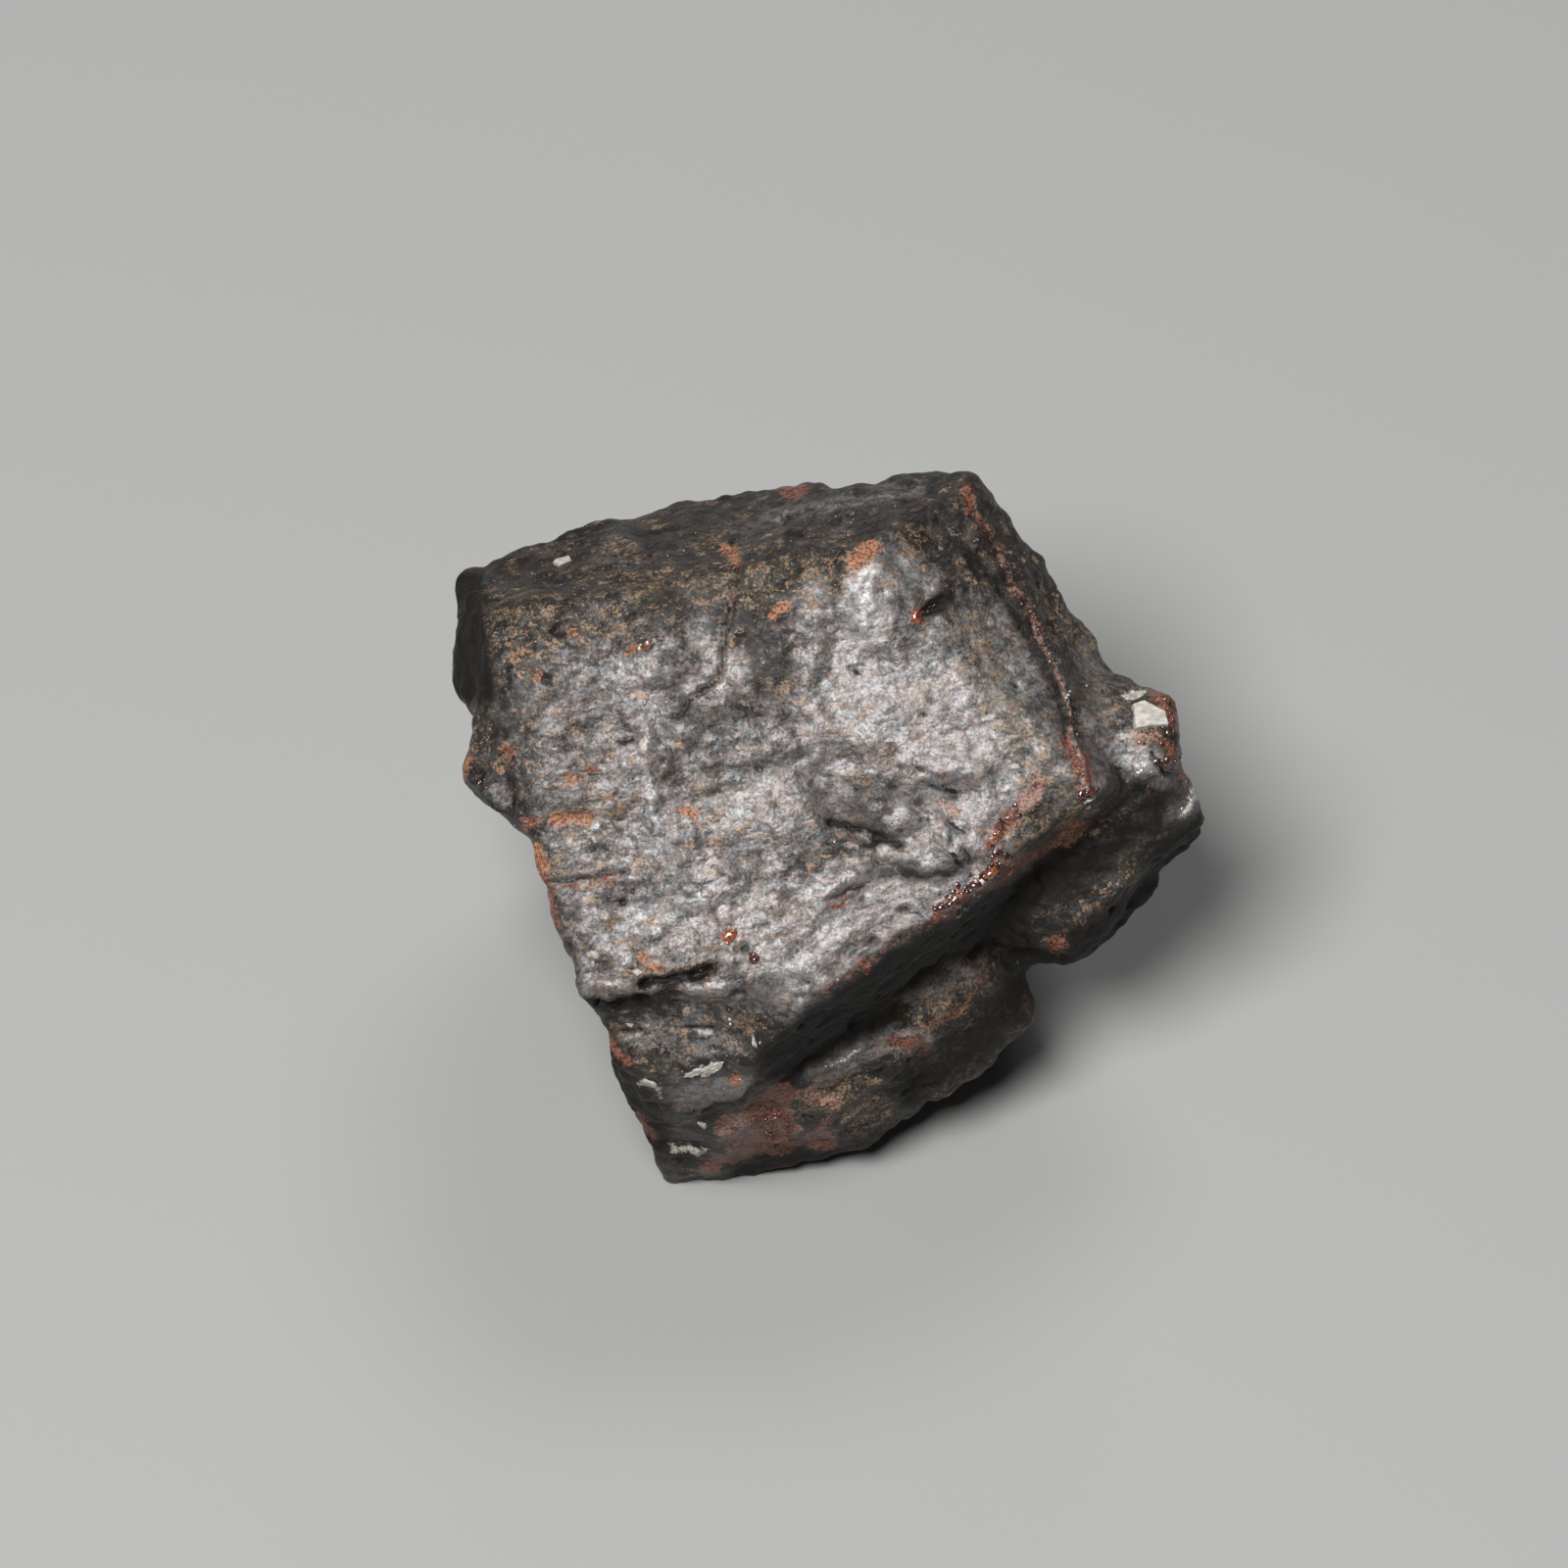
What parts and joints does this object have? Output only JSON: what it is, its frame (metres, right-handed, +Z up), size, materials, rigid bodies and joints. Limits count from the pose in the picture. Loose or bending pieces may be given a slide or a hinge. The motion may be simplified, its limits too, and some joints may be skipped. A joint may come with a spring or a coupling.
{
  "type": "rutile crystal",
  "caption": "Stubby elbow-twinned rutile crystal: a broad striated top face, a bevelled crest and flank, an overhung foot of intergrown lobes and small side nubs.",
  "frame": {"origin": "centre of the bounding box on the plane that the crystal rests on", "axes": "+X along the broad face to the right, +Y to the back, +Z up"},
  "size_m": [0.0154, 0.013, 0.0141],
  "materials": {
    "rutile": "dark brownish-grey crystal faces with a half-gloss sheen, sugary sparkle and rusty stains"
  },
  "bodies": {
    "root": {"rutile_crystal": "rutile"}
  },
  "joints": []
}
